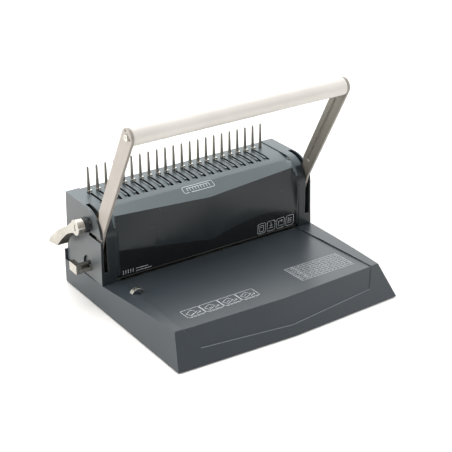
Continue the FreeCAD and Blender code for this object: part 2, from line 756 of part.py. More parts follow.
def comb_lever():
    y, z = d.comb_y, d.comb_z
    node(rod((2 - d.hub_end, 172.0), y, z, d.comb_radius), "comb_shaft")
    idler_y = y + d.tooth_module * (d.comb_teeth + d.idler_teeth) / 2
    idler_teeth = int(number(d.idler_teeth))
    for side, x, wide in (("left", (-166.0, -163.0), (-166.0, -159.4)),
                          ("right", (163.0, 166.0), (159.4, 166.0))):
        node(gear(x, y, z, int(number(d.comb_teeth)), 0.0, number(d.comb_radius) + 0.02),
             side + "_comb_pinion")
        node(gear(wide, idler_y, z, idler_teeth, math.pi + math.pi / idler_teeth, 4.05),
             side + "_idler_gear")
    bore = d.comb_radius + 0.02
    hub = (-d.hub_end, 11 - d.hub_end)
    shell = cut(rod(hub, y, z, d.hub_radius), rod((hub[0] + 2, hub[1] + 1), y, z, bore))
    slot = box((hub[0] - 1, hub[0] + 1.5), (y - 1.6, y + 1.6), (z - 5, z + 5))
    node(cut(shell, slot), "lever_hub")
    collar = (hub[1] + 0.9, -d.foot_half - 0.5)
    node(cut(rod(collar, y, z, d.hub_radius - 0.3), rod((collar[0] - 1, collar[1] + 1), y, z, bore)),
         "hub_collar")
    # blade: a thick hooked bar, each ring given by its outer and inner X, then its upper and lower
    # corner as seen from the side
    inner = -189.5
    path = [(-203.5, (92.0, 130.0), (85.0, 115.0)), (-204.0, (105.0, 120.0), (98.0, 109.0)),
            (-204.5, (120.0, 109.5), (112.0, 101.5)), (-205.5, (134.0, 101.0), (123.0, 92.5)),
            (-207.0, (143.5, 93.0), (132.5, 83.5)), (-213.0, (150.5, 83.0), (138.5, 75.0)),
            (-214.5, (152.0, 76.0), (140.0, 72.5))]
    axis = Vector(0, number(y), number(z))
    rings = []
    for outer, upper, lower in path:
        flare = outer + 0.7 * (-204.0 - outer) if outer < -205 else outer
        corners = [Vector(outer, *upper), Vector(flare, *lower), Vector(inner, *lower), Vector(inner, *upper)]
        rings.append(Part.makePolygon(corners + [corners[0]]))
    blade = Part.makeLoft(rings, True, False)
    drum = Part.makeCylinder(number(d.hub_radius) + 0.02, 30, Vector(-number(d.hub_end) - 5, 0, 0) + axis,
                             Vector(1, 0, 0))
    node(solid(blade.cut(drum)), "comb_lever")


def hook_slide():
    """Plate with the hooks that pull the comb open, on two racks driven by the pinions."""
    top, low = 138.0, 136.0
    plate = box((-158.5, 158.5), (112.0, 133.0), (low, top))
    first = d.first_tine + d.hook_offset
    count = int(number(d.hook_count))
    node(plate, "hook_plate")
    fingers = row_of_boxes(count, first, d.pitch, (-0.7, 1.7), (128.6, 132.6), (top, 147.4))
    heads = row_of_boxes(count, first, d.pitch, (-3.1, 3.1), (129.4, 133.7), (146.5, 150.2))
    node(group(*[fuse(finger, head) for finger, head in zip(fingers, heads)]), "hooks")
    idler_y = number(d.comb_y) + number(d.tooth_module) * number(d.comb_teeth + d.idler_teeth) / 2
    line = number(d.comb_z) - number(d.idler_teeth) * number(d.tooth_module) / 2
    teeth = rack_points(109.0, 145.0, idler_y, line, line - 7)
    arm = [(109.0, line - 7), (145.0, line - 7), (145.0, line - 2), (133.0, line - 2), (133.0, low),
           (118.0, low), (118.0, line - 2), (109.0, line - 2)]
    for name, side in (("left_hook_rack", -1), ("right_hook_rack", 1)):
        rack_x = (-162.6, -159.0) if side < 0 else (159.0, 162.6)
        arm_x = (-159.0, -156.5) if side < 0 else (156.5, 159.0)
        shape = slice_along_x(teeth, rack_x).fuse(slice_along_x(arm, arm_x))
        node(solid(shape.removeSplitter()), name)


# ---------------------------------------------------------------- margin setting


def margin_setting():
    y, z = d.knob_y, d.knob_z
    end = -d.knob_end
    head = box((end, end + 8), (y - 10.5, y + 10.5), (z - 8.5, z + 5.5))
    neck = box((end + 8, -d.foot_half - 0.5), (y - 10, y + 8), (z - 8.5, z - 2.5))
    node(cut(fuse(head, neck), rod((end + 4, end + 30), y, z, 3.02)), "margin_knob")
    node(rod((end + 4, 172.0), y, z, 3.0), "margin_shaft")
    radius, rise = number(d.cam_radius), number(d.cam_rise)
    low, high = radius - rise / 2, radius + rise / 2

    def spot(angle, size):
        return Vector(0, size * math.cos(angle), size * math.sin(angle))

    spiral = Part.BSplineCurve()
    spiral.interpolate([spot(math.pi * (0.45 + 1.1 * step / 12),
                             radius + rise * (0.5 - (0.45 + 1.1 * step / 12 - 0.5)))
                        for step in range(13)])
    first, last = spiral.value(spiral.FirstParameter), spiral.value(spiral.LastParameter)
    back = spot(0.0, (low + high) / 2)
    edges = [spiral.toShape(), Part.Arc(last, spot(-math.pi / 5, low + 0.6), back).toShape(),
             Part.Arc(back, spot(math.pi / 5, high - 0.9), first).toShape()]
    face = Part.Face(Part.Wire(edges))
    cam = face.extrude(Vector(6, 0, 0)).cut(Part.makeCylinder(3.02, 8, Vector(-1, 0, 0), Vector(1, 0, 0)))
    node(group(*[solid(cam.copy(), Vector(x, number(y), number(z))) for x in (-123.0, 117.0)]), "margin_cams")
    web = y - d.cam_radius - 0.15
    lip = d.punch_y + 6
    outline = [(lip, 36.9), (lip + 2, 36.9), (lip + 2, 46.0), (web, 46.0), (web, 59.8), (web - 2, 59.8),
               (web - 2, 48.0), (lip, 48.0)]
    node(side_plate((-148.0, 148.0), outline), "margin_stop")


base_shell()
bottom_parts()
waste_tray()
end_cover(-1)
end_cover(1)
centre_cover()
rear_panel()
chassis()
tine_set()
die_set()
gauge_arch()
handle()
punches()
comb_lever()
hook_slide()
margin_setting()

doc.recompute()
faults = [thing.Name for thing in doc.Objects if "Invalid" in thing.State or "Error" in thing.State]
for thing in nodes:
    if thing.Shape.isNull() or not thing.Shape.isValid():
        faults.append(thing.Label)
if faults:
    raise SystemExit("failed: " + ", ".join(faults))

os.makedirs("parts", exist_ok=True)
for thing in nodes:
    thing.Shape.exportStep("parts/%s.step" % thing.Label)
    size = thing.Shape.BoundBox
    print("%-20s %8.0f mm3 %d solids  x %.1f %.1f  y %.1f %.1f  z %.1f %.1f" % (
        thing.Label, thing.Shape.Volume, len(thing.Shape.Solids), size.XMin, size.XMax,
        size.YMin, size.YMax, size.ZMin, size.ZMax))
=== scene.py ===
import json
import math

import bmesh
import bpy
import numpy as np
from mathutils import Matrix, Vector


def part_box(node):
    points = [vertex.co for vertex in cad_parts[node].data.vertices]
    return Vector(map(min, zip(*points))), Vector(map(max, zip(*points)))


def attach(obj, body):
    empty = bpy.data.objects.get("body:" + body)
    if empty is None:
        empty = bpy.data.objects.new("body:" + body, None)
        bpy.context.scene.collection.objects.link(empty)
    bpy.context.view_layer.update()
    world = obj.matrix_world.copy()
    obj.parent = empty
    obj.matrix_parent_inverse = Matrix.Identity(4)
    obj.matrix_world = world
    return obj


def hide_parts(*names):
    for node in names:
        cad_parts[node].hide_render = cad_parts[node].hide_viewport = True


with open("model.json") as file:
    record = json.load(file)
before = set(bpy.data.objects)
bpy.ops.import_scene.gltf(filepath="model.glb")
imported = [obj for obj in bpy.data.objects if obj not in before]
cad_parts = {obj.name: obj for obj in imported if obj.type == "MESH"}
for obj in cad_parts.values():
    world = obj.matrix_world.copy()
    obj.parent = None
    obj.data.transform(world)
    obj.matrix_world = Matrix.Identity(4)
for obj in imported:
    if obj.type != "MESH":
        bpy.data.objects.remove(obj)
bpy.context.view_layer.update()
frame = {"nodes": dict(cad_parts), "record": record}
scene = bpy.context.scene
millimetre = 0.001


def say(stage):
    print("stage:", stage)


# camera and light

view = {"place": (-0.9137, -1.3406, 0.8915), "azimuth": -34.0, "elevation": 25.9, "lens": 100.7,
        "sensor": 36.0, "farEnd": 20.0}


def makeCamera(s):
    data = bpy.data.cameras.new("camera")
    data.lens = s["lens"]
    data.sensor_width = s["sensor"]
    data.clip_end = s["farEnd"]
    camera = bpy.data.objects.new("camera", data)
    scene.collection.objects.link(camera)
    turn, rise = math.radians(s["azimuth"]), math.radians(s["elevation"])
    back = Vector((math.sin(turn) * math.cos(rise), -math.cos(turn) * math.cos(rise), math.sin(rise)))
    camera.location = s["place"]
    camera.rotation_mode = "QUATERNION"
    camera.rotation_quaternion = (-back).to_track_quat("-Z", "Y")
    scene.camera = camera


makeCamera(view)

scene.view_settings.view_transform = "Standard"

# each light: place, size of its square, power and colour, all aimed at the middle of the machine
lights = {
    "overhead": {"place": (-0.2, 0.9, 2.3), "size": 2.0, "power": 34.0, "colour": (1.0, 0.995, 0.99)},
    "leftBack": {"place": (-2.3, 0.9, 0.9), "size": 1.7, "power": 52.0, "colour": (1.0, 0.985, 0.955)},
    "rightFill": {"place": (2.0, -1.4, 1.5), "size": 1.4, "power": 12.0, "colour": (0.97, 0.985, 1.0)},
    "backCard": {"place": (1.5, 2.3, 1.45), "size": 3.0, "power": 46.0, "colour": (0.97, 1.0, 1.0)},
}
room = {"horizon": (0.30, 0.31, 0.32, 1.0), "horizonAt": 0.1, "zenith": (1.0, 1.0, 1.0, 1.0),
        "zenithAt": 0.75, "strength": 0.95, "aim": (0.0, 0.0, 0.1)}


def makeLights(lamps, s):
    for name, lamp in lamps.items():
        data = bpy.data.lights.new(name, "AREA")
        data.size = lamp["size"]
        data.energy = lamp["power"]
        data.color = lamp["colour"]
        holder = bpy.data.objects.new(name, data)
        holder.location = lamp["place"]
        holder.visible_camera = False
        holder.rotation_mode = "QUATERNION"
        holder.rotation_quaternion = (Vector(s["aim"]) - holder.location).to_track_quat("-Z", "Y")
        scene.collection.objects.link(holder)
    # the room is dim near the horizon and bright overhead
    world = bpy.data.worlds.new("room")
    world.use_nodes = True
    tree = world.node_tree
    direction = tree.nodes.new("ShaderNodeTexCoord")
    parts = tree.nodes.new("ShaderNodeSeparateXYZ")
    ramp = tree.nodes.new("ShaderNodeValToRGB")
    ramp.color_ramp.elements[0].color = s["horizon"]
    ramp.color_ramp.elements[0].position = s["horizonAt"]
    ramp.color_ramp.elements[1].color = s["zenith"]
    ramp.color_ramp.elements[1].position = s["zenithAt"]
    tree.links.new(direction.outputs["Generated"], parts.inputs["Vector"])
    tree.links.new(parts.outputs["Z"], ramp.inputs["Fac"])
    tree.links.new(ramp.outputs["Color"], tree.nodes["Background"].inputs["Color"])
    tree.nodes["Background"].inputs["Strength"].default_value = s["strength"]
    scene.world = world


makeLights(lights, room)
say("camera and light")


# materials

def tint(hexText):
    # a hex colour as linear light, by the sRGB curve
    parts = [int(hexText[i:i + 2], 16) / 255 for i in (0, 2, 4)]
    return tuple(p / 12.92 if p <= 0.04045 else ((p + 0.055) / 1.055) ** 2.4 for p in parts) + (1.0,)


# what every finish starts from; a span is the part of a noise, or of the edge mask, that is used
plain = {"colour": "30373c", "drift": 0.03, "cloud": 14.0, "cloudDetail": 4.0, "cloudSpan": (0.35, 0.65),
         "rough": 0.34, "roughDrift": 0.004, "roughScale": 55.0, "roughDetail": 5.0,
         "roughSpan": (0.3, 0.7), "wear": "7d8488", "wearAmount": 0.4, "wearWidth": 0.0011,
         "wearSamples": 6, "wearEdge": (0.985, 0.86), "wearScale": 120.0, "wearDetail": 6.0,
         "wearSpan": (0.4, 0.7), "grain": 2600.0, "grainDetail": 3.0, "grainDepth": 0.00001,
         "grainStrength": 0.1, "stretch": (1.0, 1.0, 1.0), "metal": 0.0, "coat": 0.0, "coatRough": 0.1,
         "specular": 0.5}

finishes = {
    "charcoal": {},
    # cover: darker than charcoal, painted shade for the covers' faces that look forward
    "cover": {"colour": "262b2e", "rough": 0.27, "wear": "565c5f", "specular": 0.38,
              "grainStrength": 0.08},
    # coverLow: darker still, painted shade on the centre cover's faces that look down, below the fold
    "coverLow": {"colour": "15181a", "rough": 0.22, "wear": "3c4144", "specular": 0.4,
                 "grainStrength": 0.08},
    # painted shade: the lever's faces that look forward and down, darker than its nickel
    "castNickelPaintedShade": {"colour": "4c4943", "metal": 0.6, "rough": 0.4, "wear": "8a867e", "grain": 350.0},
    # painted light: the covers' faces that look up, lighter than charcoal
    "coverTopPaintedLight": {"colour": "4d575b", "rough": 0.34, "wear": "8d9699"},
    # painted light: the end covers' outer sides, lighter than charcoal
    "coverSidePaintedLight": {"colour": "4c5052", "rough": 0.4, "wear": "8b8f90"},
    "blackPlastic": {"colour": "1d1f21", "wear": "4a4c4e", "rough": 0.5},
    "rubber": {"colour": "151515", "wear": "303030", "rough": 0.85, "grain": 500.0},
    "handlePaint": {"colour": "ded9d2", "drift": 0.04, "wear": "f4f1ec", "rough": 0.34,
                    "roughDrift": 0.06, "grain": 260.0, "stretch": (0.08, 1.0, 1.0),
                    "grainStrength": 0.2, "wearAmount": 0.3},
    # the handle's off-white paint, set darker on the arms as painted shade
    "shadedArmPaint": {"colour": "9b948d", "drift": 0.05, "wear": "ebe7e1", "rough": 0.38, "roughDrift": 0.06,
                 "grain": 420.0, "stretch": (1.0, 1.0, 0.12), "grainStrength": 0.2, "wearAmount": 0.4},
    # painted shade: the arms' inner faces, darker than their paint
    "armInsidePaintedShade": {"colour": "6c6961", "drift": 0.06, "wear": "8d8a82", "rough": 0.42, "metal": 0.3,
                  "grain": 420.0, "stretch": (1.0, 1.0, 0.12), "grainStrength": 0.25},
    # black paint; on the arms' sockets it is painted shade for their hollows
    "blackPaintAndSocketShade": {"colour": "242628", "wear": "5c5e60", "rough": 0.42, "wearAmount": 0.5},
    "nickel": {"colour": "c9c6bf", "drift": 0.05, "metal": 1.0, "rough": 0.2, "roughDrift": 0.07,
               "wear": "e8e6e0", "grain": 700.0, "stretch": (1.0, 1.0, 0.15), "grainStrength": 0.12},
    "dullNickel": {"colour": "83807a", "drift": 0.06, "metal": 0.7, "rough": 0.38, "roughDrift": 0.06,
                   "wear": "c4c1ba", "grain": 700.0, "stretch": (1.0, 1.0, 0.15), "grainStrength": 0.15},
    # painted highlight: bright lines laid along moulded edges
    "paintedEdgeHighlight": {"colour": "7d878c", "drift": 0.04, "rough": 0.3, "wearAmount": 0.0},
    "castNickel": {"colour": "b8b4ac", "drift": 0.06, "metal": 1.0, "rough": 0.27, "roughDrift": 0.08,
                   "wear": "f2efe9", "grain": 350.0, "grainStrength": 0.18},
    "steel": {"colour": "96968f", "drift": 0.1, "metal": 1.0, "rough": 0.36, "roughDrift": 0.1,
              "wear": "c8c8c2", "grain": 600.0, "stretch": (0.1, 1.0, 1.0), "grainStrength": 0.3},
    "zincSteel": {"colour": "a5a6a0", "drift": 0.16, "cloud": 40.0, "metal": 1.0, "rough": 0.45,
                  "roughDrift": 0.12, "wear": "d0d0ca", "grain": 300.0},
    "brass": {"colour": "b9924a", "drift": 0.08, "metal": 1.0, "rough": 0.3, "wear": "dcc080",
              "grain": 500.0},
    "print": {"colour": "cfd4d6", "drift": 0.05, "rough": 0.55, "wearAmount": 0.0, "grain": 1500.0},
}


def makeFinish(name, changes):
    # colour drifts with a soft noise, edges show the wear colour, roughness follows a second noise,
    # and a fine grain lifts the surface
    s = {**plain, **changes}
    material = bpy.data.materials.new(name)
    material.use_nodes = True
    tree = material.node_tree
    shader = tree.nodes["Principled BSDF"]
    link = tree.links.new

    def add(kind, **values):
        item = tree.nodes.new(kind)
        for key, value in values.items():
            setattr(item, key, value)
        return item

    place = add("ShaderNodeTexCoord").outputs["Object"]
    drawn = add("ShaderNodeMapping")
    drawn.inputs["Scale"].default_value = s["stretch"]
    link(place, drawn.inputs["Vector"])

    def noise(scale, detail, source=place):
        item = add("ShaderNodeTexNoise")
        item.inputs["Scale"].default_value = scale
        item.inputs["Detail"].default_value = detail
        link(source, item.inputs["Vector"])
        return item.outputs["Fac"]

    def spread(source, span, newLow=0.0, newHigh=1.0):
        item = add("ShaderNodeMapRange")
        ends = (("From Min", span[0]), ("From Max", span[1]), ("To Min", newLow), ("To Max", newHigh))
        for key, value in ends:
            item.inputs[key].default_value = value
        link(source, item.inputs["Value"])
        return item.outputs["Result"]

    def blend(factor, first, second):
        # inputs 6 and 7 of the mix are its two colours, and output 2 is the colour it gives
        item = add("ShaderNodeMix", data_type="RGBA")
        link(factor, item.inputs["Factor"])
        for socket, value in ((item.inputs[6], first), (item.inputs[7], second)):
            if isinstance(value, tuple):
                socket.default_value = value
            else:
                link(value, socket)
        return item.outputs[2]

    base = tint(s["colour"])
    dark = tuple(c * (1 - s["drift"]) for c in base[:3]) + (1.0,)
    light = tuple(min(1.0, c * (1 + s["drift"])) for c in base[:3]) + (1.0,)
    body = blend(spread(noise(s["cloud"], s["cloudDetail"]), s["cloudSpan"]), dark, light)
    if s["wearAmount"] > 0:
        # an edge is where the rounded normal turns away from the true one
        rounded = add("ShaderNodeBevel", samples=s["wearSamples"])
        rounded.inputs["Radius"].default_value = s["wearWidth"]
        agree = add("ShaderNodeVectorMath", operation="DOT_PRODUCT")
        link(rounded.outputs["Normal"], agree.inputs[0])
        link(add("ShaderNodeNewGeometry").outputs["Normal"], agree.inputs[1])
        edge = spread(agree.outputs["Value"], s["wearEdge"], 0.0, s["wearAmount"])
        broken = add("ShaderNodeMath", operation="MULTIPLY")
        link(edge, broken.inputs[0])
        link(spread(noise(s["wearScale"], s["wearDetail"]), s["wearSpan"]), broken.inputs[1])
        body = blend(broken.outputs[0], body, tint(s["wear"]))
    link(body, shader.inputs["Base Color"])
    rough = spread(noise(s["roughScale"], s["roughDetail"]), s["roughSpan"],
                   s["rough"] - s["roughDrift"], s["rough"] + s["roughDrift"])
    link(rough, shader.inputs["Roughness"])
    shader.inputs["Metallic"].default_value = s["metal"]
    shader.inputs["Specular IOR Level"].default_value = s["specular"]
    shader.inputs["Coat Weight"].default_value = s["coat"]
    shader.inputs["Coat Roughness"].default_value = s["coatRough"]
    bump = add("ShaderNodeBump")
    bump.inputs["Strength"].default_value = s["grainStrength"]
    bump.inputs["Distance"].default_value = s["grainDepth"]
    link(noise(s["grain"], s["grainDetail"], drawn.outputs["Vector"]), bump.inputs["Height"])
    link(bump.outputs["Normal"], shader.inputs["Normal"])
    return material


material = {name: makeFinish(name, changes) for name, changes in finishes.items()}
say("materials")


# the CAD pieces, with their edges rounded

bodies = frame["record"]["behaviour"]["bodies"]
nodeBody = {name: body for body, names in bodies.items() for name in names}
nodeSlot = {part["node"]: part["material_slot"] for part in frame["record"]["subparts"]}

# each piece: finish, edge radius in millimetres, steps round the edge
roundedPieces = {
    "base_shell": ("charcoal", 1.6, 3),
    "left_end_cover": ("charcoal", 1.1, 3),
    "right_end_cover": ("charcoal", 1.1, 3),
    "centre_cover": ("cover", 0.35, 2),
    "rear_panel": ("charcoal", 0.6, 2),
    "left_handle_arm": ("shadedArmPaint", 0.7, 3),
    "right_handle_arm": ("shadedArmPaint", 0.7, 3),
    "handle_bar": ("handlePaint", 0.6, 2),
    "bar_plugs": ("blackPlastic", 0.4, 2),
    "handle_screws": ("nickel", 0.5, 3),
    "lever_hub": ("castNickel", 0.5, 3),
    "hub_collar": ("blackPaintAndSocketShade", 0.5, 2),
    "comb_lever": ("castNickel", 1.6, 4),
    "margin_knob": ("castNickel", 1.3, 3),
    "gauge_arch": ("nickel", 0.35, 2),
    "tines": ("dullNickel", 0.3, 2),
    "tine_strip": ("nickel", 0.3, 1),
    "hooks": ("nickel", 0.5, 2),
    "hook_plate": ("nickel", 0.3, 1),
    "waste_tray": ("blackPlastic", 0.6, 2),
    "rubber_feet": ("rubber", 0.3, 2),
    "rear_screws": ("zincSteel", 0.3, 2),
}

# faces that look a given way take a tone of their own, painted on, so it stays whatever the light or the
# pose: painted light on tops and outer sides, painted shade on fronts, undersides and the arms' inner
# faces;
# the way, how nearly they must look that way, and the finish
topAndFront = [((0, 0, 1), 0.35, "coverTopPaintedLight"), ((0, -1, 0), 0.7, "cover")]
paintedShadeAndLight = {
    "left_handle_arm": [((1, 0, 0), 0.9, "armInsidePaintedShade")],
    "right_handle_arm": [((-1, 0, 0), 0.9, "armInsidePaintedShade")],
    "centre_cover": [((0, 0, 1), 0.35, "coverTopPaintedLight"), ((0, 0, -1), 0.012, "coverLow")],
    "comb_lever": [((0, -0.6, -0.8), 0.55, "castNickelPaintedShade")],
    "left_end_cover": topAndFront + [((-1, 0, 0), 0.7, "coverSidePaintedLight")],
    "right_end_cover": topAndFront + [((1, 0, 0), 0.7, "coverSidePaintedLight")],
}

otherFinishes = {"black_paint": "blackPaintAndSocketShade", "black_plastic": "blackPlastic", "steel": "steel",
                 "zinc_steel": "zincSteel", "brass": "brass", "nickel": "nickel"}


def paintSides(mesh, rules):
    # faces whose normal lies close to a rule's direction take that rule's finish, the painted light and
    # painted shade listed above
    normals = np.empty(len(mesh.polygons) * 3)
    mesh.polygons.foreach_get("normal", normals)
    chosen = np.zeros(len(mesh.polygons), dtype=np.int32)
    for way, least, finish in rules:
        mesh.materials.append(material[finish])
        chosen[normals.reshape(-1, 3) @ np.array(way) > least] = len(mesh.materials) - 1
    mesh.polygons.foreach_set("material_index", chosen)


# points closer than the weld, in metres, are joined; angles in degrees: faces that count as flat,
# edges that stay smooth, and edges sharp enough to round
rounding = {"weld": 2e-6, "flat": 0.6, "smooth": 28, "sharp": 30}


def softenEdges(node, finish, radius, steps, s=rounding):
    # a merged copy of the node, its flat parts joined into single faces, then a bevel along sharp edges
    mesh = bpy.data.meshes.new(node + "_rounded")
    work = bmesh.new()
    work.from_mesh(frame["nodes"][node].data)
    bmesh.ops.remove_doubles(work, verts=work.verts, dist=s["weld"])
    bmesh.ops.dissolve_limit(work, angle_limit=math.radians(s["flat"]), verts=work.verts,
                             edges=work.edges)
    for face in work.faces:
        face.smooth = True
    for edge in work.edges:
        soft = edge.calc_face_angle(0.0) < math.radians(s["smooth"])
        edge.smooth = len(edge.link_faces) == 2 and soft
    work.to_mesh(mesh)
    work.free()
    mesh.materials.append(material[finish])
    paintSides(mesh, paintedShadeAndLight.get(node, []))
    piece = bpy.data.objects.new(node + "_rounded", mesh)
    scene.collection.objects.link(piece)
    bevel = piece.modifiers.new("edges", "BEVEL")
    bevel.width = radius * millimetre
    bevel.segments = steps
    bevel.limit_method = "ANGLE"
    bevel.angle_limit = math.radians(s["sharp"])
    bevel.harden_normals = True
    bevel.use_clamp_overlap = True
    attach(piece, nodeBody[node])
    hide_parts(node)


for node, choice in roundedPieces.items():
    softenEdges(node, *choice)
for node, thing in frame["nodes"].items():
    if node not in roundedPieces:
        thing.data.materials.clear()
        thing.data.materials.append(material[otherFinishes[nodeSlot[node]]])
say("rounded pieces")


# new pieces are grids of points, in millimetres

def gridPiece(name, points, finish, body, thick=0.0, inward=True):
    # points: sheets x rows x columns x 3, each sheet a separate grid of quads, given a wall by Solidify
    sheets, rows, columns = points.shape[:3]
    index = np.arange(sheets * rows * columns).reshape(sheets, rows, columns)
    quads = np.stack([index[:, :-1, :-1], index[:, 1:, :-1],
                      index[:, 1:, 1:], index[:, :-1, 1:]], axis=-1).reshape(-1, 4)
    mesh = bpy.data.meshes.new(name)
    mesh.vertices.add(index.size)
    mesh.vertices.foreach_set("co", (points * millimetre).astype(np.float32).ravel())
    mesh.loops.add(quads.size)
    mesh.loops.foreach_set("vertex_index", quads.ravel().astype(np.int32))
    mesh.polygons.add(len(quads))
    mesh.polygons.foreach_set("loop_start", np.arange(0, quads.size, 4, dtype=np.int32))
    mesh.update(calc_edges=True)
    mesh.validate()
    mesh.polygons.foreach_set("use_smooth", np.ones(len(quads), dtype=bool))
    mesh.materials.append(material[finish])
    piece = bpy.data.objects.new(name, mesh)
    scene.collection.objects.link(piece)
    wall = piece.modifiers.new("wall", "SOLIDIFY")
    wall.thickness = thick * millimetre
    wall.offset = -1.0 if inward else 1.0
    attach(piece, body)
    return piece


def smoothStep(t):
    # zero below 0, one above 1, and 3t^2 - 2t^3 between
    t = np.clip(t, 0.0, 1.0)
    return t * t * (3.0 - 2.0 * t)


coverLow = np.array(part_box("centre_cover")[0]) / millimetre
endLow, endHigh = [np.array(corner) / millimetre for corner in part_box("right_end_cover")]
# crease: Y in the middle and its growth to the ends, then Z and its growth; fold: Y, its growth, Z;
# bend: Y, Z
coverShape = {"half": 160.0, "crease": (55.0, 9.5, 128.5, 6.3), "fold": (50.4, 2.4, 62.5), "slant": 0.15,
              "swell": 15.0, "swellTurn": 0.95, "lip": 53.6, "bend": (82.0, 141.2)}


def coverLine(x, s=coverShape):
    # four corners of the cover's section at each x, from the lip up to the bend: Y and Z arrays
    across = np.abs(x) / s["half"]
    rise = np.where(x < 0, -s["slant"] * x, s["swell"] * np.sin(np.radians(s["swellTurn"] * x)))
    flat = np.zeros_like(x)
    y = [s["lip"] + flat, s["fold"][0] + s["fold"][1] * across ** 2,
         s["crease"][0] + s["crease"][1] * across, s["bend"][0] + flat]
    z = [coverLow[2] + flat, s["fold"][2] + rise,
         s["crease"][2] + s["crease"][3] * across, s["bend"][1] + flat]
    return np.stack(y, axis=-1), np.stack(z, axis=-1)


rims = {"inner": 152.4, "outer": 159.6, "roll": 5.5, "lift": 0.1, "thick": 1.2, "across": 14,
        "spans": 3, "steps": 10, "noseRadius": 38.0, "noseIn": 1.0, "faceIn": 0.6, "fade": 0.6,
        "low": 0.04}


def makeRims(s):
    # at each end the cover's face swells out to the end cover's round nose: a blend, by smoothStep
    # across x, from the section's straight lines to the nose's arc
    side = np.linspace(s["inner"], s["outer"], s["across"])
    along = np.linspace(s["low"], s["spans"], s["spans"] * s["steps"])
    span = np.minimum(along.astype(int), s["spans"] - 1)
    part = along - span
    middle = np.array([endLow[1] + s["noseIn"] + s["noseRadius"], endHigh[2] - s["noseRadius"]])
    sheets = []
    for x in (-side[::-1], side):
        lineY, lineZ = coverLine(x)
        y = lineY[:, span] + (lineY[:, span + 1] - lineY[:, span]) * part
        z = lineZ[:, span] + (lineZ[:, span + 1] - lineZ[:, span]) * part
        reach = np.hypot(y - middle[0], z - middle[1])
        noseY = np.where(z > middle[1], middle[0] + (y - middle[0]) * s["noseRadius"] / reach,
                         endLow[1] + s["faceIn"])
        noseZ = np.where(z > middle[1], middle[1] + (z - middle[1]) * s["noseRadius"] / reach, z)
        swell = smoothStep((np.abs(x)[:, None] - s["inner"]) / s["roll"])
        swell = swell * smoothStep((s["spans"] - along) / s["fade"])
        y, z = y + swell * (np.minimum(noseY, y) - y), z + swell * (np.maximum(noseZ, z) - z)
        out = np.stack([y - middle[0], z - coverLow[2]], axis=-1)
        out /= np.linalg.norm(out, axis=-1, keepdims=True)
        wide = np.broadcast_to(x[:, None], y.shape)
        lifted = [wide, y + s["lift"] * out[..., 0], z + s["lift"] * out[..., 1]]
        sheets.append(np.stack(lifted, axis=-1))
    piece = gridPiece("cover_rims", np.stack(sheets), "cover", nodeBody["centre_cover"],
                      s["thick"])
    # the rims take the cover's painted light on their tops and its painted shade below the fold
    paintSides(piece.data, paintedShadeAndLight["centre_cover"])


makeRims(rims)
say("cover rims")


# prints, and painted highlights along edges: thin strips laid on a surface, each strip a line from one
# point to another

printOrHighlightStrip = {"steps": 6, "thick": 0.1, "clear": 0.04, "frontClear": 0.2}


def makePrintOrHighlight(name, lines, wide, surface, node, finish="print", s=printOrHighlightStrip):
    # each line is widened to a strip, cut into steps along its length, and laid on the node's surface
    lines = np.array(lines, dtype=float)
    start, end = lines[:, :2], lines[:, 2:]
    along = (end - start) / np.linalg.norm(end - start, axis=1, keepdims=True)
    start, end = start - along * wide / 2, end + along * wide / 2
    across = np.stack([-along[:, 1], along[:, 0]], axis=1) * wide / 2
    t = np.linspace(0.0, 1.0, s["steps"])[None, :, None]
    middle = start[:, None, :] * (1 - t) + end[:, None, :] * t
    flat = np.stack([middle + across[:, None, :], middle - across[:, None, :]], axis=2)
    x, y, z = surface(flat[..., 0], flat[..., 1])
    gridPiece(name, np.stack([x, y, z], axis=-1), finish, nodeBody[node],
              s["thick"], False)


deckShape = {"foot": 37.3, "footY": 52.0, "rise": 7.5, "long": 174.0}


def onDeck(u, v, s=deckShape):
    # the deck climbs evenly from the cover to the lip
    return u, v, s["foot"] + (s["footY"] - v) * s["rise"] / s["long"] + printOrHighlightStrip["clear"]


def onFront(u, v):
    # height v on the cover's face between its lip and its fold
    lineY, lineZ = coverLine(u)
    part = (v - lineZ[..., 0]) / (lineZ[..., 1] - lineZ[..., 0])
    return u, lineY[..., 0] + part * (lineY[..., 1] - lineY[..., 0]) - printOrHighlightStrip["frontClear"], v


def onSlope(u, v):
    # depth v on the slope between the cover's crease and its bend
    lineY, lineZ = coverLine(u)
    part = (v - lineY[..., 2]) / (lineY[..., 3] - lineY[..., 2])
    return u, v, lineZ[..., 2] + part * (lineZ[..., 3] - lineZ[..., 2]) + printOrHighlightStrip["clear"]


def path(*corners):
    # lines that join a row of corners
    return [a + b for a, b in zip(corners[:-1], corners[1:])]


def boxPath(left, right, low, high, cut):
    # a rectangle with its corners cut off
    return path((left + cut, low), (right - cut, low), (right, low + cut), (right, high - cut),
                (right - cut, high), (left + cut, high), (left, high - cut), (left, low + cut),
                (left + cut, low))


# badge on the slope: a cut-cornered frame round a row of strokes, like a comb
badge = {"left": -33.0, "right": 19.0, "low": 70.6, "high": 81.4, "cut": 1.6, "wide": 0.75, "teeth": 9,
         "padAcross": 7.0, "padUp": 3.0}


def makeBadge(s):
    lines = boxPath(s["left"], s["right"], s["low"], s["high"], s["cut"])
    low, high = s["low"] + s["padUp"], s["high"] - s["padUp"]
    places = np.linspace(s["left"] + s["padAcross"], s["right"] - s["padAcross"], s["teeth"])
    lines += [(x, low, x, high) for x in places]
    lines += path((places[0], high), (places[-1], high))
    makePrintOrHighlight("badge_print", lines, s["wide"], onSlope, "centre_cover")


# four step signs on the cover's face: page, punch, turn and bind, each in its own frame
signs = {"first": 84.0, "pitch": 17.6, "size": 14.2, "low": 45.2, "high": 62.0, "cut": 1.8, "wide": 0.7}


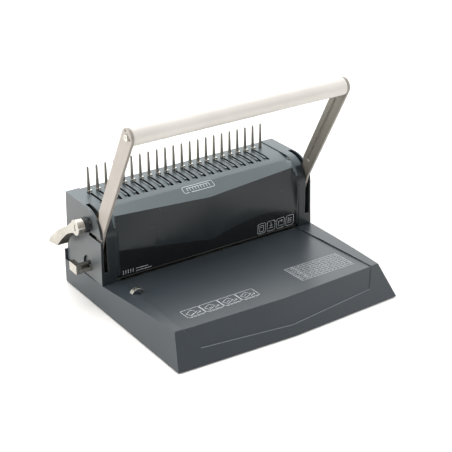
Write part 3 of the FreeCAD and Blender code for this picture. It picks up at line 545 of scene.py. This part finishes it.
def makeSigns(s):
    # each drawing is in millimetres from the lower left corner of its frame
    drawings = [
        path((3.5, 3), (3.5, 13), (10.5, 13), (10.5, 3), (3.5, 3)) + path((5.5, 10), (8.5, 10)),
        path((3, 5), (11, 5)) + path((7, 13.5), (7, 7.5)) + path((5, 9.5), (7, 7), (9, 9.5)),
        path((3.5, 4), (3.5, 12), (10.5, 12)) + path((8.5, 14), (10.8, 12), (8.5, 10))
        + path((6, 4), (11, 4)),
        path((4, 3), (4, 13.5)) + path((4, 4.5), (10.5, 4.5)) + path((4, 8), (10.5, 8))
        + path((4, 11.5), (10.5, 11.5)),
    ]
    lines = []
    for index, drawing in enumerate(drawings):
        left = s["first"] + s["pitch"] * index
        lines += boxPath(left, left + s["size"], s["low"], s["high"], s["cut"])
        lines += [(left + a, s["low"] + b, left + c, s["low"] + d) for a, b, c, d in drawing]
    makePrintOrHighlight("sign_prints", lines, s["wide"], onFront, "centre_cover")


# strip of four framed steps near the lip, drawn as plain slanted pages
steps = {"left": -137.0, "right": -18.5, "low": -98.2, "high": -77.0, "count": 4, "wide": 0.6,
         "inset": 0.6, "cut": 1.2, "climb": 1.5, "dashes": 4, "dash": (3, 7), "dashPitch": 6,
         "dashDown": 2.0}


def makeSteps(s):
    pitch = (s["right"] - s["left"]) / s["count"]
    page = path((8, 3), (20, 9), (15, 17), (4, 11), (8, 3))
    arrow = path((17, 3.5), (25, 7.5)) + path((22.5, 9), (25, 7.5), (23.5, 4.8))
    lines = []
    for index in range(s["count"]):
        left = s["left"] + pitch * index
        lines += boxPath(left + s["inset"], left + pitch - s["inset"], s["low"], s["high"], s["cut"])
        climb = s["climb"] * index
        drawing = page + arrow + path((9.5, 5 + climb), (14, 7.2 + climb))
        lines += [(left + a, s["low"] + b, left + c, s["low"] + d) for a, b, c, d in drawing]
        under, (start, end) = s["low"] - s["dashDown"], s["dash"]
        lines += [(left + start + s["dashPitch"] * k, under, left + end + s["dashPitch"] * k, under)
                  for k in range(s["dashes"])]
    makePrintOrHighlight("step_prints", lines, s["wide"], onDeck, "base_shell")


# table of comb sizes: ruled rows, with a dash for each entry
table = {"left": 53.5, "right": 146.0, "low": -99.6, "high": -56.5, "rows": 8, "columns": 14,
         "wide": 0.5, "ruled": [0, 2, -1], "from": 0.3, "to": 0.55, "longer": 0.12, "lengths": 3}


def makeTable(s):
    rows = np.linspace(s["low"], s["high"], s["rows"] + 1)
    columns = np.linspace(s["left"], s["right"], s["columns"] + 1)
    lines = [(s["left"], y, s["right"], y) for y in rows]
    lines += [(x, s["low"], x, s["high"]) for x in columns[s["ruled"]]]
    cell, tall = columns[1] - columns[0], rows[1] - rows[0]
    for row in range(s["rows"]):
        y = rows[row] + tall / 2
        for k, x in enumerate(columns[:-1]):
            end = s["to"] + s["longer"] * ((row + k) % s["lengths"])
            lines.append((x + cell * s["from"], y, x + cell * end, y))
    makePrintOrHighlight("table_print", lines, s["wide"], onDeck, "base_shell")


# plain mark at the lower left of the face: a few upright bars, then two lines
mark = {"left": -149.0, "low": 46.0, "high": 51.5, "wide": 0.9, "bars": 5, "pitch": 4.0,
        "lineFrom": 21.0, "lowerTo": 46.0, "upperTo": 40.0, "upperDown": 1.5}


def makeMark(s):
    places = [s["left"] + s["pitch"] * k for k in range(s["bars"])]
    lines = [(x, s["low"], x, s["high"]) for x in places]
    start, upper = s["left"] + s["lineFrom"], s["high"] - s["upperDown"]
    lines += path((start, s["low"]), (s["left"] + s["lowerTo"], s["low"]))
    lines += path((start, upper), (s["left"] + s["upperTo"], upper))
    makePrintOrHighlight("face_mark", lines, s["wide"], onFront, "centre_cover")


# painted highlights: bright lines along moulded edges, the foot of the panel on the lip, and the deck's
# right margin
edges = {"half": 143.5, "low": 20.7, "dip": 6.5, "wide": 0.55, "right": 160.0, "rightBack": 157.3,
         "rear": 48.0}
lipShape = {"low": 1.5, "high": 46.0, "front": (-151.0, -122.0), "bow": (8.0, 7.0),
            "half": (185.7, 172.8)}
marginShape = {"depth": (-122.0, -78.0, -13.0, 52.0), "height": (46.0, 44.9, 42.2, 38.5)}


def onLip(u, v, s=lipShape):
    # the lip leans back evenly with height, and comes to a blunt point in the middle
    rise = (v - s["low"]) / (s["high"] - s["low"])
    front, bow, half = [s[key][0] + rise * (s[key][1] - s[key][0]) for key in ("front", "bow", "half")]
    return u, front - bow * (1 - np.abs(u) / half) - printOrHighlightStrip["clear"], v


def onMargin(u, v, s=marginShape):
    # the margin's height runs straight from one listed depth to the next
    return u, v, np.interp(v, s["depth"], s["height"]) + printOrHighlightStrip["clear"]


def makeEdgeHighlights(s):
    smile = path((-s["half"], s["low"]), (0.0, s["low"] - s["dip"]), (s["half"], s["low"]))
    makePrintOrHighlight("lip_edge_highlight", smile, s["wide"], onLip, "base_shell", "paintedEdgeHighlight")
    margin = path((s["right"], marginShape["depth"][0]), (s["rightBack"], s["rear"]))
    makePrintOrHighlight("margin_edge_highlight", margin, s["wide"], onMargin, "base_shell", "paintedEdgeHighlight")


# two dark discs beside the screw on each arm's head, painted shade standing for recessed sockets, each
# placed by its Y and Z from the screw
sockets = {"places": ((2.6, 9.2), (-8.4, -0.6)), "radius": 1.5, "inner": 0.15, "rings": 4,
           "turns": 20, "deep": 0.25, "clear": 0.05}


def makeSockets(s):
    screwLow, screwHigh = [np.array(corner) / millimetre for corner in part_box("handle_screws")]
    armLow = np.array(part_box("left_handle_arm")[0]) / millimetre
    centre = (screwLow + screwHigh) / 2
    radius = np.linspace(s["inner"], s["radius"], s["rings"])[:, None]
    turn = np.linspace(0.0, 2 * math.pi, s["turns"] + 1)[None, :]
    sheets = []
    for side in (-1.0, 1.0):
        for awayY, awayZ in s["places"]:
            y = centre[1] + awayY + radius * np.cos(turn) * side
            z = centre[2] + awayZ + radius * np.sin(turn)
            x = np.full_like(y, side * (-armLow[0] + s["clear"]))
            sheets.append(np.stack([x, y, z], axis=-1))
    gridPiece("arm_sockets", np.stack(sheets), "blackPaintAndSocketShade", "handle", s["deep"], False)


makeBadge(badge)
makeSigns(signs)
makeSteps(steps)
makeTable(table)
makeMark(mark)
makeEdgeHighlights(edges)
makeSockets(sockets)
say("prints")


# the floor

floorSize = {"half": 6.0, "height": 0.0}


def makeFloor(s):
    mesh = bpy.data.meshes.new("floor")
    h, z = s["half"], s["height"]
    mesh.from_pydata([(-h, -h, z), (h, -h, z), (h, h, z), (-h, h, z)], [], [(0, 1, 2, 3)])
    mesh.materials.append(makeFinish("floorPaper", {"colour": "f4f3f1", "drift": 0.01, "rough": 0.9,
                                                    "wearAmount": 0.0, "grain": 60.0, "specular": 0.1}))
    floor = bpy.data.objects.new("floor", mesh)
    scene.collection.objects.link(floor)


makeFloor(floorSize)
say("floor")

bpy.context.view_layer.update()
